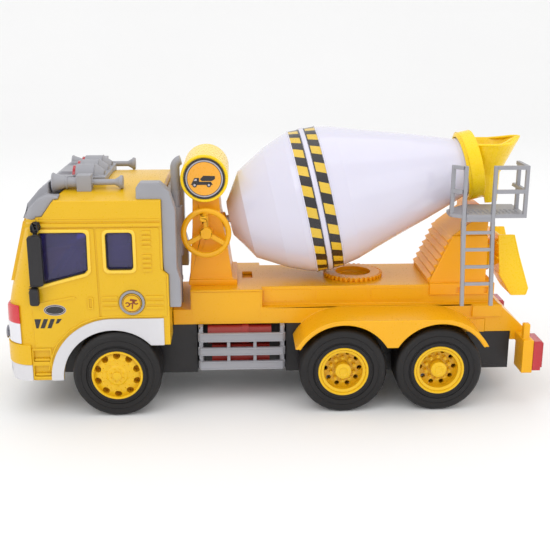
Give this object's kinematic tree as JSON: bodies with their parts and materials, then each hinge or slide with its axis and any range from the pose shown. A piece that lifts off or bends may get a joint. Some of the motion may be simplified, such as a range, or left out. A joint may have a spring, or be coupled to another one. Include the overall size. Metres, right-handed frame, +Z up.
{
  "type": "toy cement mixer",
  "caption": "Toy cement mixer truck with a boxy cab, a tilted drum on a raised deck, a side handwheel, a rear hopper with a platform and ladder, and a swinging chute.",
  "frame": {"origin": "on the floor under the middle of the truck's bounding box", "axes": "+X towards the tail and the drum's mouth, -X towards the cab's front, +Z up; the ladder and platform are on the -Y side"},
  "size_m": [0.265, 0.096, 0.1355],
  "materials": {
    "cab_yellow": "satin",
    "body_yellow": "satin",
    "amber_plastic": "satin",
    "bright_yellow": "gloss",
    "rim_yellow": "satin",
    "grey_plastic": "satin",
    "silver_plastic": "satin",
    "black_plastic": "satin",
    "tyre_black": "matt",
    "white_plastic": "gloss",
    "red_lens": "gloss",
    "clear_lens": "gloss",
    "smoke_window": "gloss",
    "red_plastic": "satin",
    "steel": "brushed",
    "natural_plastic": "matt",
    "board_green": "satin",
    "speaker_black": "matt"
  },
  "bodies": {
    "truck": {"chassis_tub": "black_plastic", "body_deck": "body_yellow", "cab_shell": "cab_yellow", "arch_trims": "silver_plastic", "front_bumper_trim": "silver_plastic", "window_insert": "smoke_window", "cab_interior": "black_plastic", "roof_visor": "grey_plastic", "roof_light_bar": "grey_plastic", "beacon_lenses": "red_lens", "air_horns": "grey_plastic", "cab_rear_frame": "grey_plastic", "exhaust_stack": "grey_plastic", "door_mirrors": "black_plastic", "headlamps": "clear_lens", "button_bezel": "grey_plastic", "front_post": "amber_plastic", "sign_barrel": "bright_yellow", "deck_ratchet_ring": "amber_plastic", "rear_pedestal": "amber_plastic", "rear_collar": "amber_plastic", "hopper": "bright_yellow", "platform": "grey_plastic", "ladder": "grey_plastic", "side_guard_left": "grey_plastic", "side_guard_right": "grey_plastic", "side_tanks": "red_plastic", "rear_bumper": "body_yellow", "tail_lamps": "red_lens", "battery_door": "black_plastic", "button_cells": "steel", "sound_board": "board_green", "speaker": "speaker_black", "body_screws": "steel", "friction_housing": "natural_plastic"},
    "sound_button": {"sound_button": "cab_yellow"},
    "front_wheels": {"front_axle": "steel", "front_rim_left": "rim_yellow", "front_rim_right": "rim_yellow", "front_tyre_left": "tyre_black", "front_tyre_right": "tyre_black"},
    "mid_wheels": {"mid_axle": "steel", "mid_rim_left": "rim_yellow", "mid_rim_right": "rim_yellow", "mid_tyre_left": "tyre_black", "mid_tyre_right": "tyre_black", "axle_gear": "natural_plastic"},
    "rear_wheels": {"rear_axle": "steel", "rear_rim_left": "rim_yellow", "rear_rim_right": "rim_yellow", "rear_tyre_left": "tyre_black", "rear_tyre_right": "tyre_black"},
    "idler": {"idler_gear": "natural_plastic"},
    "flywheel": {"flywheel": "steel"},
    "drum": {"drum_shell": "white_plastic", "drum_cap": "white_plastic", "drum_gear": "steel"},
    "handwheel": {"handwheel": "body_yellow", "handwheel_gear": "steel"},
    "chute": {"chute": "bright_yellow"}
  },
  "joints": [
    {"name": "front_wheel_spin", "type": "hinge", "parent": "truck", "child": "front_wheels", "pos_m": [-0.0786, 0, 0.0215], "axis": [0, 1, 0], "continuous": true},
    {"name": "mid_wheel_spin", "type": "hinge", "parent": "truck", "child": "mid_wheels", "pos_m": [0.0316, 0, 0.0215], "axis": [0, 1, 0], "continuous": true},
    {"name": "rear_wheel_spin", "type": "hinge", "parent": "truck", "child": "rear_wheels", "pos_m": [0.0789, 0, 0.0215], "axis": [0, 1, 0], "continuous": true},
    {"name": "idler_spin", "type": "hinge", "parent": "truck", "child": "idler", "pos_m": [0.04027, 0, 0.025], "axis": [0, 1, 0], "continuous": true},
    {"name": "flywheel_spin", "type": "hinge", "parent": "truck", "child": "flywheel", "pos_m": [0.04852, 0, 0.025], "axis": [0, 1, 0], "continuous": true},
    {"name": "drum_spin", "type": "hinge", "parent": "truck", "child": "drum", "pos_m": [0.014, 0, 0.097], "axis": [0.977, 0, 0.213], "continuous": true},
    {"name": "handwheel_spin", "type": "hinge", "parent": "truck", "child": "handwheel", "pos_m": [-0.035, 0, 0.08632], "axis": [0, -1, 0], "continuous": true},
    {"name": "chute_swivel", "type": "hinge", "parent": "truck", "child": "chute", "pos_m": [0.1106, 0, 0.0685], "axis": [0, 0, 1], "range_deg": [-30, 30]},
    {"name": "sound_button_press", "type": "slide", "parent": "truck", "child": "sound_button", "axis": [0, 1, 0], "range_m": [0, 0.0008], "stiffness_N_per_m": 400, "springref_m": -0.0008}
  ],
  "couplings": [
    {"joint": "idler_spin", "follows": "mid_wheel_spin", "ratio": -2.4},
    {"joint": "flywheel_spin", "follows": "mid_wheel_spin", "ratio": 4.8},
    {"joint": "handwheel_spin", "follows": "drum_spin", "ratio": -1}
  ]
}
